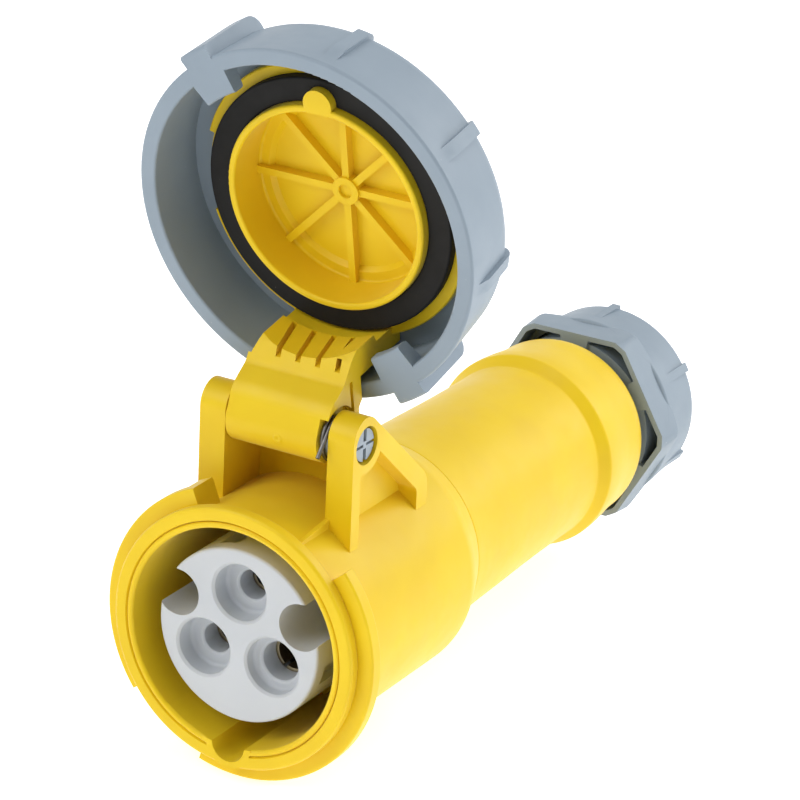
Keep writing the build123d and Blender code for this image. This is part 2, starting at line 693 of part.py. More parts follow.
def make_contact(name):
    """Turned brass socket: slotted sleeve in front, terminal head with wire bore behind."""
    angle, pin_r, _ = contact_sizes(name)
    front = contact_front_y(name)
    sleeve_r = pin_r + SLEEVE_WALL
    head_r = sleeve_r + TERMINAL_EXTRA_R
    head_y = FLANGE_Y + CONTACT_PLAY
    body = rod(sleeve_r, front, head_y) + rod(head_r, head_y, TERMINAL_END_Y)
    half = SLEEVE_SLOT / 2
    body -= rod(pin_r, front - OVERRUN, WEB_Y)
    body -= block(-half, half, front - OVERRUN, front + SLEEVE_SLOT_LENGTH, -head_r, head_r)
    body -= rod(WIRE_BORE_R, TERMINAL_END_Y - WIRE_BORE_DEPTH, TERMINAL_END_Y + OVERRUN)
    body -= cross_rod(TERMINAL_SCREW_R + TERMINAL_SCREW_FIT, 0, head_r + OVERRUN, TERMINAL_SCREW_Y, 0)
    return at_angle(Pos(PIN_CIRCLE_R, 0, 0) * body, angle)


def make_contact_clip(name):
    """Open steel ring that closes the slotted sleeve on the pin."""
    angle, pin_r, _ = contact_sizes(name)
    inner = pin_r + SLEEVE_WALL + CLIP_FIT
    start = contact_front_y(name) + CLIP_SETBACK
    end = start + CLIP_LENGTH
    half = CLIP_GAP / 2
    ring = tube(inner + CLIP_WALL, inner, start, end)
    ring -= block(0, 2 * inner, start - OVERRUN, end + OVERRUN, -half, half)
    return at_angle(Pos(PIN_CIRCLE_R, 0, 0) * ring, angle)


def make_terminal_screws():
    """Three clamping screws, each pointing in towards its wire bore."""
    screws = []
    for name in POLES:
        angle, pin_r, _ = contact_sizes(name)
        start = PIN_CIRCLE_R + WIRE_BORE_R - TERMINAL_SCREW_SINK
        end = PIN_CIRCLE_R + pin_r + SLEEVE_WALL + TERMINAL_EXTRA_R + TERMINAL_SCREW_PROUD
        body = cross_rod(TERMINAL_SCREW_R, start, end, TERMINAL_SCREW_Y, 0)
        y = TERMINAL_SCREW_Y - SCREW_SLOT / 2
        reach = TERMINAL_SCREW_R
        slot = block(end - SCREW_SLOT_DEPTH, end + OVERRUN, y, y + SCREW_SLOT, -reach, reach)
        screws.append(at_angle(body - slot, angle))
    return Compound(screws)


def make_lid():
    body = turned(
        [
            (0, POT_FLOOR_Y), (POT_R - POT_STEP_INSET - POT_STEP, POT_FLOOR_Y),
            (POT_R - POT_STEP_INSET, POT_FLOOR_Y + POT_STEP),
            (POT_INNER_R, POT_FLOOR_Y + POT_STEP), (POT_INNER_R, POT_RIM_Y), (POT_R, POT_RIM_Y),
            (POT_R, PLATFORM_FRONT_Y), (PLATFORM_R, PLATFORM_FRONT_Y), (PLATFORM_R, PLATFORM_BACK_Y),
            (HUB_R, PLATFORM_BACK_Y), (HUB_R, LID_BACK_Y), (0, LID_BACK_Y),
        ],
        {3: POT_CORNER_ROUND, 4: POT_RIM_ROUND, 5: POT_RIM_ROUND, 7: PLATFORM_ROUND, 10: HUB_ROUND},
    )
    half = POT_RIB / 2
    reach = POT_INNER_R + LAP
    for index in range(POT_RIBS // 2):
        rib = block(-reach, reach, POT_FLOOR_Y - LAP, POT_RIB_TOP_Y, -half, half)
        body += at_angle(rib, index * 360 / POT_RIBS)
    boss_y = POT_RIB_TOP_Y + POT_BOSS_RISE
    body += rod(POT_BOSS_R, POT_FLOOR_Y - LAP, boss_y)
    body -= rod(POT_BOSS_DIMPLE_R, boss_y - POT_BOSS_DIMPLE, boss_y + OVERRUN)
    body += pot_key() + snap_lugs() + lid_arm()
    rim = PLATFORM_R - PLATFORM_CUT_DEPTH
    outside = PLATFORM_R + OVERRUN
    behind = PLATFORM_BACK_Y - OVERRUN
    cut = [(rim, behind), (outside, behind), (outside, POT_RIM_Y), (rim, POT_RIM_Y)]
    body -= sector(cut, *PLATFORM_CUT)
    return body - cross_rod(PIN_R + PIN_CLEARANCE, BARREL_LEFT_X - OVERRUN, ARM_HALF_WIDTH + OVERRUN)


def pot_key():
    """Half-round polarising bump on the pot rim, at the bottom when the lid is shut."""
    key = rod(POT_KEY_HALF, PLATFORM_FRONT_Y - LAP, POT_RIM_Y, z=-KEYWAY_CENTRE_R)
    return key - rod(POT_INNER_R + LAP, PLATFORM_FRONT_Y - OVERRUN, POT_RIM_Y + OVERRUN)


def snap_lugs():
    """Lugs on the back of the lid that hold the locking ring on."""
    front = RING_FLANGE_BACK_Y - RING_FLANGE_GAP
    back = front - SNAP_LUG_LENGTH
    outer = HUB_R + RING_BEARING_CLEARANCE + SNAP_LUG_OVERLAP
    root = HUB_R - OVERRUN
    points = [(root, front), (outer, front), (HUB_R - SNAP_LUG_SINK, back), (root, back)]
    lugs = Part()
    for index in range(SNAP_LUGS):
        middle = (index + 0.5) * 360 / SNAP_LUGS
        lugs += sector(points, middle - SNAP_LUG_ANGLE / 2, middle + SNAP_LUG_ANGLE / 2)
    return lugs


def lid_arm():
    """Gooseneck from the barrel over the rim to the platform; its bends are (y, z) from the hinge."""
    lean = radians(ARM_LEAN_ANGLE)
    tangent = (HINGE_Y + BARREL_R * cos(lean), HINGE_Z - BARREL_R * sin(lean))
    inside = [(HINGE_Y + y, HINGE_Z + z) for y, z in ARM_INSIDE]
    outside = [(HINGE_Y + y, HINGE_Z + z) for y, z in ARM_OUTSIDE]
    root = BODY_R - ARM_ROOT_SINK
    foot = [(ARM_FOOT_Y, root), (PLATFORM_BACK_Y, root), (PLATFORM_BACK_Y, outside[0][1])]
    points = [(HINGE_Y, HINGE_Z), tangent, *inside, *foot, *outside]
    arm = slab(points, -ARM_HALF_WIDTH, ARM_HALF_WIDTH, ARM_ROUNDS)
    arm -= tube(ARM_OUTER_R * 2, ARM_OUTER_R, PLATFORM_BACK_Y - OVERRUN, RING_EDGE_Y + ARM_RING_EDGE_GAP)
    arm -= rod(ARM_INNER_R, PLATFORM_FRONT_Y, EAR_REAR_Y)
    arm -= rim_clearance() + stop_clearance()
    arm += cross_rod(BARREL_R, BARREL_LEFT_X, BARREL_RIGHT_X)
    outer_x = ARM_HALF_WIDTH + OVERRUN
    arm -= cross_rod(SPRING_POCKET_R, BARREL_RIGHT_X, outer_x)
    y = HINGE_Y - LEG_SLOT_SETBACK
    top = HINGE_Z - LEG_SLOT_DROP
    arm -= block(ARM_HALF_WIDTH - LEG_SLOT_DEPTH, outer_x, y, y + LEG_SLOT, top - LEG_SLOT_LENGTH, top)
    return arm - arm_grooves()


def rim_clearance():
    """Space the arm leaves round the housing's rim when the lid is shut."""
    clear_r = RIM_R + ARM_RIM_CLEAR_R
    return turned([
        (0, PLATFORM_FRONT_Y), (clear_r, PLATFORM_FRONT_Y), (clear_r, ARM_RIM_CLEAR_Y - ARM_RIM_CLEAR_SLOPE),
        (ARM_INNER_R, ARM_RIM_CLEAR_Y), (0, ARM_RIM_CLEAR_Y),
    ])


def stop_clearance():
    """Space the arm leaves beside the left wing's stop block as the lid swings past it."""
    end_y = WING_FRONT_Y + STOP_BLOCK_LENGTH + ARM_STOP_SWEEP
    start_y = PLATFORM_FRONT_Y
    points = [(BODY_R, start_y), (ARM_OUTER_R, start_y), (ARM_OUTER_R, end_y), (BODY_R, end_y)]
    first = LEFT_WING[0] - ARM_STOP_GAP_ANGLE
    return sector(points, first, first + 3 * STOP_BLOCK_ANGLE)


def arm_grooves():
    """Slanted grooves that part the arm's bend into pads."""
    pitch = 2 * ARM_HALF_WIDTH / (ARM_GROOVES + 1)
    groove = block(-ARM_GROOVE / 2, ARM_GROOVE / 2, 0, HINGE_Y, -OVERRUN, ARM_GROOVE_DEPTH)
    grooves = Part()
    for index in range(ARM_GROOVES):
        x = (index - (ARM_GROOVES - 1) / 2) * pitch
        grooves += Pos(x, ARM_RIM_CLEAR_Y, ARM_INNER_R) * Rot(0, 0, -ARM_GROOVE_SLANT) * groove
    return grooves


def make_lid_gasket():
    """Flat sealing ring that lies on the platform and meets the mouth's lip."""
    inner, outer, seat_y, face_y = GASKET_INNER_R, GASKET_OUTER_R, PLATFORM_FRONT_Y, -GASKET_MOUTH_GAP
    points = [(inner, seat_y), (outer, seat_y), (outer, face_y), (inner, face_y)]
    ring = turned(points, {2: GASKET_ROUND, 3: GASKET_ROUND})
    key_r = POT_KEY_HALF + GASKET_KEY_GAP
    return ring - rod(key_r, seat_y - OVERRUN, POT_RIM_Y, z=-KEYWAY_CENTRE_R)


def ring_outer_r(y):
    """Radius of the ring's tapering outside."""
    return RING_OUTER_R - RING_TAPER * (RING_EDGE_Y - y) / RING_DEPTH


def make_locking_ring():
    flange_r = HUB_R + RING_BEARING_CLEARANCE
    back_r = flange_r + RING_BACK_REACH
    body = turned(
        [
            (RING_INNER_R, RING_EDGE_Y), (RING_OUTER_R, RING_EDGE_Y), (RING_END_R, RING_END_Y),
            (back_r, RING_END_Y), (back_r, RING_FLANGE_BACK_Y), (flange_r, RING_FLANGE_BACK_Y),
            (flange_r, RING_FLANGE_FRONT_Y), (RING_INNER_R, RING_FLANGE_FRONT_Y),
        ],
        {0: RING_LIP_ROUND, 1: RING_EDGE_ROUND, 2: RING_END_ROUND},
    )
    for angle in LUG_ANGLES:
        body += ring_lug(angle) + grip_rib(angle)
        for step in range(1, SMALL_RIBS + 1):
            body += small_rib(angle + step * RIB_PITCH_ANGLE)
    return body


def ring_lug(angle):
    """Inward lug that hooks behind a wing of the mouth."""
    back = RING_EDGE_Y - LUG_THICKNESS
    root = RING_INNER_R + RING_EDGE_ROUND
    inner = LUG_INNER_R
    points = [(inner, back), (root, back - LUG_BACK_SLOPE), (root, RING_EDGE_Y), (inner, RING_EDGE_Y)]
    return sector(points, angle - LUG_HALF_ANGLE, angle + LUG_HALF_ANGLE, {0: LUG_ROUND, 3: LUG_ROUND})


def grip_rib(angle):
    """Large outside rib, in line with a lug."""
    end = RING_END_Y + RIB_END_INSET
    top = RING_OUTER_R + GRIP_HEIGHT
    points = [(RIB_ROOT_R, RING_EDGE_Y), (top, RING_EDGE_Y), (top - GRIP_TAPER, end), (RIB_END_ROOT_R, end)]
    rounds = {1: GRIP_FRONT_ROUND, 2: GRIP_ROUND}
    return sector(points, angle - GRIP_HALF_ANGLE, angle + GRIP_HALF_ANGLE, rounds)


def small_rib(angle):
    """Low outside rib that rises from the ring's front towards its back."""
    start = RING_EDGE_Y - SMALL_RIB_SETBACK
    end = RING_END_Y + RIB_END_INSET
    crest = start - SMALL_RIB_RUN
    points = [
        (RIB_ROOT_R, start), (ring_outer_r(start), start), (ring_outer_r(crest) + SMALL_RIB_HEIGHT, crest),
        (ring_outer_r(end) + SMALL_RIB_HEIGHT, end), (RIB_END_ROOT_R, end),
    ]
    half = SMALL_RIB_HALF_ANGLE
    return sector(points, angle - half, angle + half, {3: SMALL_RIB_END_ROUND})


def make_hinge_pin():
    """Plastic pin in a blind hole on the left, with a split snap end on the right."""
    pin = cross_rod(PIN_R, EAR_BLIND_WALL + PIN_END_PLAY - EAR_OUTER_X, PIN_LOBE_START_X)
    pin += cross_rod(PIN_LOBE_R, PIN_LOBE_START_X, PIN_END_X)
    half = PIN_SLOT / 2
    x1 = PIN_LOBE_START_X + PIN_SLOT_START
    x2 = PIN_END_X + OVERRUN
    upright = block(x1, x2, HINGE_Y - half, HINGE_Y + half, HINGE_Z + PIN_BRIDGE / 2, HINGE_Z + PIN_R)
    level = block(x1, x2, HINGE_Y + half, HINGE_Y + PIN_R, HINGE_Z - half / 2, HINGE_Z + half / 2)
    hinge = Pos(0, HINGE_Y, HINGE_Z)
    for slot in (upright, level):
        pin -= slot + hinge * Rot(180, 0, 0) * hinge.inverse() * slot
    return pin


def make_hinge_spring():
    """Torsion spring between the barrel and the right ear, with its leg in the arm's slot."""
    first = BARREL_RIGHT_X + SPRING_GAP + SPRING_WIRE_R
    coil = Helix(SPRING_PITCH, SPRING_PITCH * SPRING_TURNS, SPRING_COIL_R)
    turns = Pos(first, HINGE_Y, HINGE_Z) * Rot(0, 90, 0) * coil
    leg = Line(turns @ 1, turns @ 1 + (turns % 1) * SPRING_LEG)
    path = Wire([*turns.edges(), *leg.edges()])
    section = Plane(origin=path @ 0, z_dir=path % 0) * Circle(SPRING_WIRE_R)
    return sweep(section, path=path, is_frenet=True)


def hexagon(across_flats, y1, y2):
    """Hexagonal bar along Y with a corner at the nut's corner angle."""
    face = Plane.XZ * RegularPolygon(across_flats / 2, 6, major_radius=False, rotation=CORNER_ANGLE)
    return Pos(0, y1, 0) * extrude(face, amount=y1 - y2)


def make_gland_nut():
    body = nut_hexagon() + nut_cap()
    front_y = SKIRT_FRONT_Y - OVERRUN
    shoulder_y = SKIRT_FRONT_Y + HEX_LENGTH
    inner = hexagon(ACROSS_FLATS - 2 * SKIRT_WALL, front_y, shoulder_y)
    body -= inner & rod(CORNER_FRONT_R - SKIRT_WALL, front_y, shoulder_y)
    body -= rod(CAP_R - CAP_WALL, front_y, NUT_FLOOR_Y)
    body += tube(NUT_COLLAR_R, NUT_BORE_R, NUT_COLLAR_Y, NUT_FLOOR_Y + LAP)
    body += tube(THREAD_BORE_R - THREAD_CLEARANCE, NUT_BORE_R, THREAD_FRONT_Y, NUT_COLLAR_Y + LAP)
    body += nut_tabs()
    entry_y = NUT_FLOOR_Y - LAP
    return body - turned([
        (0, entry_y), (NUT_BORE_R, entry_y), (CABLE_R, NUT_END_Y - CABLE_LENGTH),
        (CABLE_R, NUT_END_Y - CABLE_FLARE), (CABLE_R + CABLE_FLARE, NUT_END_Y),
        (CABLE_R + CABLE_FLARE, NUT_END_Y + OVERRUN), (0, NUT_END_Y + OVERRUN),
    ])


def nut_hexagon():
    """Hexagonal front part of the gland nut, with rounded corners."""
    shoulder_y = SKIRT_FRONT_Y + HEX_LENGTH
    back_y = shoulder_y + HEX_SHOULDER
    points = [
        (0, SKIRT_FRONT_Y), (CORNER_FRONT_R, SKIRT_FRONT_Y), (CORNER_R, shoulder_y),
        (CAP_R - 2 * LAP, back_y), (0, back_y),
    ]
    corners = turned(points, {2: HEX_ROUND})
    return corners & hexagon(ACROSS_FLATS, SKIRT_FRONT_Y, back_y)


def nut_cap():
    """Round back of the gland nut with its ribs."""
    start = SKIRT_FRONT_Y + HEX_LENGTH
    points = [(0, start), (CAP_R, start), (CAP_END_R, NUT_END_Y), (0, NUT_END_Y)]
    cap = turned(points, {1: CAP_FRONT_ROUND, 2: CAP_ROUND})
    rib_end = NUT_END_Y - NECK_RIB_INSET
    rib_start = rib_end - NECK_RIB_LENGTH
    half = NECK_RIB_WIDTH / 2
    root = CAP_END_R - NECK_RIB_SINK
    low_crest = (rib_start, CAP_R - NECK_RIB_START_SINK)
    high_crest = (rib_end, CAP_END_R + NECK_RIB)
    points = [(rib_start, root), low_crest, high_crest, (rib_end, root)]
    rib = Rot(0, 90, 0) * slab(points, -half, half)
    for index in range(NECK_RIBS):
        cap += at_angle(rib, FLAT_ANGLE + 360 * index / NECK_RIBS)
    return cap


def nut_tabs():
    """Pads inside the flats that reach in to the nut's collar."""
    inner = TAB_INNER_R
    outer = (ACROSS_FLATS - SKIRT_WALL) / 2
    end = NUT_FLOOR_Y + LAP
    points = [(inner, SKIRT_FRONT_Y), (outer, SKIRT_FRONT_Y), (outer, end), (inner, end)]
    tabs = Part()
    for index in range(6):
        angle = FLAT_ANGLE + 60 * index
        tabs += sector(points, angle - TAB_HALF_ANGLE, angle + TAB_HALF_ANGLE)
    return tabs


def make_gland_seal():
    inner = SEAL_BORE_R
    outer = THREAD_BORE_R - GLAND_RADIAL_GAP
    start = SEAL_SEAT_Y
    end = SEAL_SEAT_Y + SEAL_LENGTH
    points = [(inner, start), (outer, start), (outer, end), (inner, end)]
    return turned(points, {0: SEAL_FRONT_ROUND, 3: SEAL_REAR_ROUND})


def make_gland_washer():
    rear = THREAD_FRONT_Y - REST_GAP
    return tube(THREAD_BORE_R - GLAND_RADIAL_GAP, WASHER_BORE_R, rear - WASHER, rear)


def make_clamp_cage():
    """Ring with fingers that the nut presses on the cable."""
    start = THREAD_FRONT_Y - REST_GAP
    end = start + CAGE_LENGTH
    outer = NUT_BORE_R - GLAND_RADIAL_GAP
    half = CAGE_SLOT / 2
    body = tube(outer, outer - CAGE_WALL, start, end)
    slot = block(-outer - OVERRUN, outer + OVERRUN, start + CAGE_RING, end + OVERRUN, -half, half)
    for index in range(CAGE_FINGERS // 2):
        body -= at_angle(slot, (index + 0.5) * 360 / CAGE_FINGERS)
    return body


NODES = {
    "front_housing": make_front_housing,
    "rear_housing": make_rear_housing,
    "housing_seal": make_housing_seal,
    "contact_insert": make_contact_insert,
    "contact_carrier": make_contact_carrier,
    "carrier_screw": make_carrier_screw,
    "terminal_screws": make_terminal_screws,
    "hinge_pin": make_hinge_pin,
    "gland_nut": make_gland_nut,
    "gland_seal": make_gland_seal,
    "gland_washer": make_gland_washer,
    "clamp_cage": make_clamp_cage,
}
LID_NODES = {
    "lid": make_lid,
    "lid_gasket": make_lid_gasket,
    "locking_ring": make_locking_ring,
    "hinge_spring": make_hinge_spring,
}


def build():
    """Every piece by its node name, in its place at rest."""
    pieces = {name: make() for name, make in NODES.items()}
    for name in POLES:
        pieces["contact_" + name] = make_contact(name)
        pieces["contact_clip_" + name] = make_contact_clip(name)
    for name, make in LID_NODES.items():
        pieces[name] = swing_open(make())
    return pieces


os.makedirs("parts", exist_ok=True)
for node, piece in build().items():
    export_step(piece, "parts/" + node + ".step")
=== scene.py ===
"""Looks of the industrial cable coupler: camera, light, materials and the fine detail on its pieces."""

import json
from math import cos, pi, radians, sin, sqrt

import bmesh
import bpy
from mathutils import Matrix, Vector


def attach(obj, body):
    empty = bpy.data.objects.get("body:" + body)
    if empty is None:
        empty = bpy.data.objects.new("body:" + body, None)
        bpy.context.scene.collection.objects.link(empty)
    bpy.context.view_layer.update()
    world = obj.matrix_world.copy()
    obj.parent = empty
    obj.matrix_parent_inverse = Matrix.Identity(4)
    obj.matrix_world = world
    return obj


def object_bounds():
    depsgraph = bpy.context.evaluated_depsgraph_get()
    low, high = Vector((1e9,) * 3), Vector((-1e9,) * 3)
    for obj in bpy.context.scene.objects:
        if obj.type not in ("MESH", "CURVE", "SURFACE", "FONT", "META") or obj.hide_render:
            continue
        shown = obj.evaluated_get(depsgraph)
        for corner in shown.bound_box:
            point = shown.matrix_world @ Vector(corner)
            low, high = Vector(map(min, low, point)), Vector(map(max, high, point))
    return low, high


MM = 0.001

# Camera: the photograph's viewing angle, roll and distance
AZIMUTH = 29.75
ELEVATION = 22.45
ROLL = 2.54
SHIFT_RIGHT = -32.48 * MM
SHIFT_UP = -46.21 * MM
DISTANCE = 864.2 * MM
LENS = 202.5
SENSOR = 36.0
NEAREST = 0.01
FARTHEST = 100

# Surroundings: floor, world and lamps (name, place, size, power)
FLOOR_SIZE = 6.0
FLOOR_GAP = 0.2 * MM
FLOOR_GLOW = 0.62
FLOOR_ROUGHNESS = 0.8
FLOOR_SPECULAR = 0.1
WORLD_LIGHT = 0.28
WORLD_SEEN = 1.0
BACKGROUND = (1.0, 1.0, 1.0, 1.0)
LAMP_TARGET = (0, 0.05, 0.03)
LAMPS = (
    ("key", (-0.95, -1.35, 1.35), 1.3, 21),
    ("back", (1.2, 1.3, 1.1), 1.6, 29),
    ("top", (0.1, 0.2, 2.0), 1.2, 10),
)

# Colours, linear
YELLOW = (0.83, 0.585, 0.006, 1)
YELLOW_DEEP = (0.78, 0.53, 0.005, 1)
INSERT_GREY = (0.56, 0.585, 0.61, 1)
INSERT_SHADE = (0.52, 0.545, 0.57, 1)
BLUE_GREY = (0.275, 0.335, 0.395, 1)
BLUE_GREY_SHADE = (0.25, 0.307, 0.365, 1)
PIN_GREY = (0.36, 0.42, 0.48, 1)
PIN_SHADE = (0.31, 0.37, 0.43, 1)
RUBBER = (0.013, 0.0125, 0.012, 1)
RUBBER_SHADE = (0.009, 0.0085, 0.008, 1)
BRASS = (0.62, 0.52, 0.33, 1)
STEEL = (0.16, 0.155, 0.15, 1)
DUST = (0.55, 0.57, 0.58, 1)
FLOOR_WHITE = (0.9, 0.9, 0.9, 1)

# Hinge of the lid, in the frame's millimetres
HINGE_Y = 18.96
HINGE_Z = 38.57
BARREL_R = 5.4

# Mark of the injection gate on the hinge barrel
GATE_X = 0.63
GATE_ANGLE = -169.6
GATE_PROFILE = ((0.0, 0.02), (0.36, 0.02), (0.50, 0.17), (0.86, 0.17), (1.04, 0.0), (1.25, -0.06))
GATE_SEGMENTS = 40

# Edges of the moulded pieces
EDGE_ROUND = 0.28 * MM
EDGE_ANGLE = 35.0
EDGE_SEGMENTS = 2
WELD_DISTANCE = 0.002 * MM

# Plastics: sizes in millimetres of the slow waves, glossy patches and dust, and their strengths
CLOUD_SIZE = 14.0
PATCH_SIZE = 5.0
GRAIN_HEIGHT = 0.012
WAVE_SIZE = 7.0
WAVE_HEIGHT = 0.10
WAVE_STRENGTH = 0.12
DUST_LAYERS = ((4.2, 0.035, 1.0), (1.9, 0.022, 0.6))
PLASTIC_SPECULAR = 0.28
RUBBER_SPECULAR = 0.22
SHEEN_ROUGHNESS = 0.45
SCATTER_RADIUS = (1.0, 0.6, 0.2)
SCATTER_SCALE = 0.8 * MM

# Metals: tool marks and tarnish
MARK_SIZE = 0.6
MARK_STRETCH = (0.15, 6.0, 0.15)
MARK_HEIGHT = 0.01
MARK_STRENGTH = 0.3
TARNISH_SIZE = 2.5
TARNISH_SHADE = 0.7
TARNISH_ROUGHNESS = 0.12


def make_camera():
    """Camera from the viewing angle, with the picture's small roll."""
    azimuth, elevation, roll = radians(AZIMUTH), radians(ELEVATION), radians(ROLL)
    back = Vector((sin(azimuth) * cos(elevation), -cos(azimuth) * cos(elevation), sin(elevation)))
    right = Vector((cos(azimuth), sin(azimuth), 0))
    up = back.cross(right)
    turned_right = right * cos(roll) + up * sin(roll)
    turned_up = up * cos(roll) - right * sin(roll)
    place = back * DISTANCE - turned_right * SHIFT_RIGHT - turned_up * SHIFT_UP
    turn = Matrix((turned_right, turned_up, back)).transposed().to_4x4()
    data = bpy.data.cameras.new("camera")
    data.lens = LENS
    data.sensor_width = SENSOR
    data.clip_start = NEAREST
    data.clip_end = FARTHEST
    camera = bpy.data.objects.new("camera", data)
    camera.matrix_world = Matrix.Translation(place) @ turn
    bpy.context.scene.collection.objects.link(camera)
    bpy.context.scene.camera = camera


def link(tree, source, target):
    """Wire between two sockets."""
    tree.links.new(source, target)


def node(tree, kind, **values):
    """New shader node with its inputs or properties set by name."""
    made = tree.nodes.new(kind)
    for name, value in values.items():
        if hasattr(made, name):
            setattr(made, name, value)
        else:
            made.inputs[name.replace("_", " ")].default_value = value
    return made


def larger(tree, first, second):
    """The larger of two values."""
    made = node(tree, "ShaderNodeMath", operation="MAXIMUM")
    link(tree, first, made.inputs[0])
    link(tree, second, made.inputs[1])
    return made.outputs[0]


def make_floor(low):
    """White floor, lit through from below like a photographer's table, with a faint shadow."""
    bpy.ops.mesh.primitive_plane_add(size=FLOOR_SIZE, location=(0, 0, low - FLOOR_GAP))
    floor = bpy.context.object
    floor.name = "floor"
    material = bpy.data.materials.new("floor")
    material.use_nodes = True
    shader = material.node_tree.nodes["Principled BSDF"]
    shader.inputs["Base Color"].default_value = FLOOR_WHITE
    shader.inputs["Roughness"].default_value = FLOOR_ROUGHNESS
    shader.inputs["Specular IOR Level"].default_value = FLOOR_SPECULAR
    shader.inputs["Emission Color"].default_value = BACKGROUND
    shader.inputs["Emission Strength"].default_value = FLOOR_GLOW
    floor.data.materials.append(material)


def make_world():
    """Even pale surroundings, white where the camera or a reflection sees them."""
    world = bpy.data.worlds.new("world")
    bpy.context.scene.world = world
    world.use_nodes = True
    tree = world.node_tree
    tree.nodes.clear()
    path = node(tree, "ShaderNodeLightPath")
    dim = node(tree, "ShaderNodeBackground", Strength=WORLD_LIGHT)
    white = node(tree, "ShaderNodeBackground", Strength=WORLD_SEEN)
    dim.inputs["Color"].default_value = BACKGROUND
    white.inputs["Color"].default_value = BACKGROUND
    mix = node(tree, "ShaderNodeMixShader")
    out = node(tree, "ShaderNodeOutputWorld")
    seen = larger(tree, path.outputs["Is Camera Ray"], path.outputs["Is Glossy Ray"])
    seen = larger(tree, seen, path.outputs["Is Transmission Ray"])
    link(tree, seen, mix.inputs[0])
    link(tree, dim.outputs[0], mix.inputs[1])
    link(tree, white.outputs[0], mix.inputs[2])
    link(tree, mix.outputs[0], out.inputs[0])


def make_lamp(name, place, size, power):
    """Square soft box that faces the object."""
    data = bpy.data.lights.new(name, "AREA")
    data.shape = "SQUARE"
    data.size = size
    data.energy = power
    lamp = bpy.data.objects.new(name, data)
    lamp.location = place
    aim = Vector(LAMP_TARGET) - Vector(place)
    lamp.rotation_euler = aim.to_track_quat("-Z", "Y").to_euler()
    bpy.context.scene.collection.objects.link(lamp)


def noise(tree, coordinates, size_mm, detail=2.0, roughness=0.5):
    """Noise whose features are about size_mm across."""
    made = node(tree, "ShaderNodeTexNoise")
    made.inputs["Scale"].default_value = 1 / (size_mm * MM)
    made.inputs["Detail"].default_value = detail
    made.inputs["Roughness"].default_value = roughness
    link(tree, coordinates, made.inputs["Vector"])
    return made.outputs["Fac"]


def ranged(tree, source, low, high, start=0.3, end=0.7):
    """Value that runs from low to high while the source runs from start to end."""
    made = node(tree, "ShaderNodeMapRange")
    for name, value in (("From Min", start), ("From Max", end), ("To Min", low), ("To Max", high)):
        made.inputs[name].default_value = value
    link(tree, source, made.inputs["Value"])
    return made.outputs["Result"]


def bump(tree, height, distance_mm, strength, before=None):
    """Normal of a relief that is distance_mm high, over an earlier one."""
    made = node(tree, "ShaderNodeBump")
    made.inputs["Strength"].default_value = strength
    made.inputs["Distance"].default_value = distance_mm * MM
    link(tree, height, made.inputs["Height"])
    if before is not None:
        link(tree, before, made.inputs["Normal"])
    return made.outputs["Normal"]


def specks(tree, place, base, colour, spacing_mm, size_share, amount):
    """Scattered dots of another colour, such as dust and nicks, over a base colour."""
    cells = node(tree, "ShaderNodeTexVoronoi", Scale=1 / (spacing_mm * MM))
    link(tree, place, cells.inputs["Vector"])
    dots = ranged(tree, cells.outputs["Distance"], amount, 0.0, size_share * 0.5, size_share)
    mix = node(tree, "ShaderNodeMix", data_type="RGBA")
    link(tree, base, mix.inputs["A"])
    mix.inputs["B"].default_value = colour
    link(tree, dots, mix.inputs["Factor"])
    return mix.outputs["Result"]


def plastic(name, light, dark, rough, grain_mm=0.16, grain=0.25, scatter=0.0, sheen=0.0, dust=0.0):
    """Moulded plastic: eroded-mould grain, slow waves of shade and small glossy patches."""
    material = bpy.data.materials.new(name)
    material.use_nodes = True
    tree = material.node_tree
    shader = tree.nodes["Principled BSDF"]
    place = node(tree, "ShaderNodeTexCoord").outputs["Object"]
    clouds = noise(tree, place, CLOUD_SIZE, 3.0)
    mix = node(tree, "ShaderNodeMix", data_type="RGBA")
    mix.inputs["A"].default_value = dark
    mix.inputs["B"].default_value = light
    link(tree, ranged(tree, clouds, 0.0, 1.0), mix.inputs["Factor"])
    colour = mix.outputs["Result"]
    if dust:
        for spacing, share, strength in DUST_LAYERS:
            colour = specks(tree, place, colour, DUST, spacing, share, dust * strength)
    link(tree, colour, shader.inputs["Base Color"])
    patches = noise(tree, place, PATCH_SIZE, 4.0, 0.6)
    link(tree, ranged(tree, patches, rough - 0.05, rough + 0.06), shader.inputs["Roughness"])
    fine = bump(tree, noise(tree, place, grain_mm, 1.0), GRAIN_HEIGHT, grain)
    wavy = bump(tree, noise(tree, place, WAVE_SIZE, 1.0), WAVE_HEIGHT, WAVE_STRENGTH, fine)
    link(tree, wavy, shader.inputs["Normal"])
    shader.inputs["Specular IOR Level"].default_value = PLASTIC_SPECULAR
    shader.inputs["Sheen Weight"].default_value = sheen
    shader.inputs["Sheen Roughness"].default_value = SHEEN_ROUGHNESS
    if scatter:
        shader.inputs["Subsurface Weight"].default_value = scatter
        shader.inputs["Subsurface Radius"].default_value = SCATTER_RADIUS
        shader.inputs["Subsurface Scale"].default_value = SCATTER_SCALE
    return material


def rubber(name):
    """Black rubber: the plastics' pattern, coarser, duller and dusty."""
    material = plastic(name, RUBBER, RUBBER_SHADE, 0.66, grain_mm=0.22, grain=0.4, dust=0.35)
    shader = material.node_tree.nodes["Principled BSDF"]
    shader.inputs["Specular IOR Level"].default_value = RUBBER_SPECULAR
    return material


